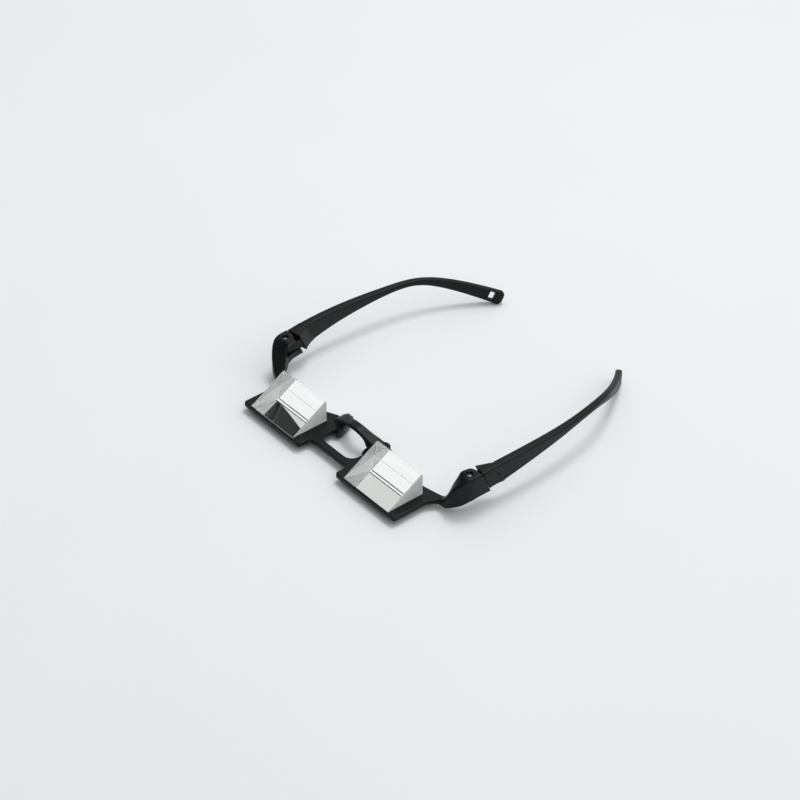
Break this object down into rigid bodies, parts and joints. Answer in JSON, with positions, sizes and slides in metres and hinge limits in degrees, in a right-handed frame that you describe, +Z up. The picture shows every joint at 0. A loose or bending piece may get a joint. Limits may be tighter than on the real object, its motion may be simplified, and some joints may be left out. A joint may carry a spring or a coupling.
{
  "type": "prism glasses",
  "caption": "Recumbent reading and belay spectacles: a moulded open frame carries glass prisms on flat shelves and has a nose arch, soft pads and folding temples.",
  "frame": {"origin": "on the surface that the glasses stand on, under the middle of the open glasses", "axes": "+X to the wearer's left, +Y from the prisms back towards the temple ends, +Z up through the prisms"},
  "size_m": [0.1368, 0.1456, 0.0196],
  "materials": {
    "black_nylon": "fine-grained injection-moulded nylon",
    "clear_glass": "polished optical glass with fine-ground ends",
    "silvered_backing": "silvering under a protective paint",
    "optical_adhesive": "cured adhesive",
    "soft_rubber": "soft silicone rubber",
    "screw_steel": "turned steel",
    "insert_brass": "turned brass"
  },
  "bodies": {
    "front": {"frame_front": "black_nylon", "left_prism": "clear_glass", "right_prism": "clear_glass", "left_mirror_coat": "silvered_backing", "right_mirror_coat": "silvered_backing", "left_prism_adhesive": "optical_adhesive", "right_prism_adhesive": "optical_adhesive", "left_nose_pad": "soft_rubber", "right_nose_pad": "soft_rubber", "left_hinge_screw": "screw_steel", "right_hinge_screw": "screw_steel", "left_hinge_insert": "insert_brass", "right_hinge_insert": "insert_brass"},
    "left_arm": {"left_temple": "black_nylon"},
    "right_arm": {"right_temple": "black_nylon"}
  },
  "joints": [
    {"name": "left_temple_hinge", "type": "hinge", "parent": "front", "child": "left_arm", "pos_m": [0.0638, -0.0401, 0.014], "axis": [0, 0, 1], "range_deg": [0, 80]},
    {"name": "right_temple_hinge", "type": "hinge", "parent": "front", "child": "right_arm", "pos_m": [-0.0638, -0.0401, 0.014], "axis": [0, 0, -1], "range_deg": [0, 74]}
  ]
}
